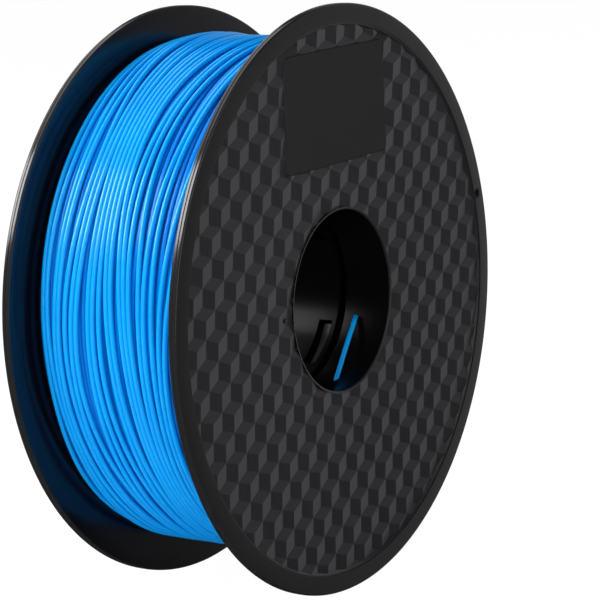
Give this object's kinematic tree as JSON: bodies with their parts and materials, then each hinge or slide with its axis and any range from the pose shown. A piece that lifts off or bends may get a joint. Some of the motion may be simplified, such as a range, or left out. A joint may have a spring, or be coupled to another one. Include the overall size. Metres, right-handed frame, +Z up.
{
  "type": "filament spool",
  "caption": "Spool of printer filament: snap-together halves with dished relief flanges and a hub bore carry a wound strand whose start is threaded into the bore.",
  "frame": {"origin": "on the bore's axis, midway between the two outer faces", "axes": "+Y along the bore from the front flange to the rear flange; +Z up through the middle of the front face's blank label field; +X to the right seen from the front"},
  "size_m": [0.2, 0.068, 0.2],
  "materials": {
    "spool_plastic": "black injection-moulded plastic, satin to gloss, with a moulded relief of fine-lined facets on the outer faces",
    "filament": "glossy azure extruded strand, wound in uneven layers"
  },
  "bodies": {
    "root": {"front_half": "spool_plastic", "rear_half": "spool_plastic", "filament_winding": "filament", "filament_start_tail": "filament"}
  },
  "joints": []
}
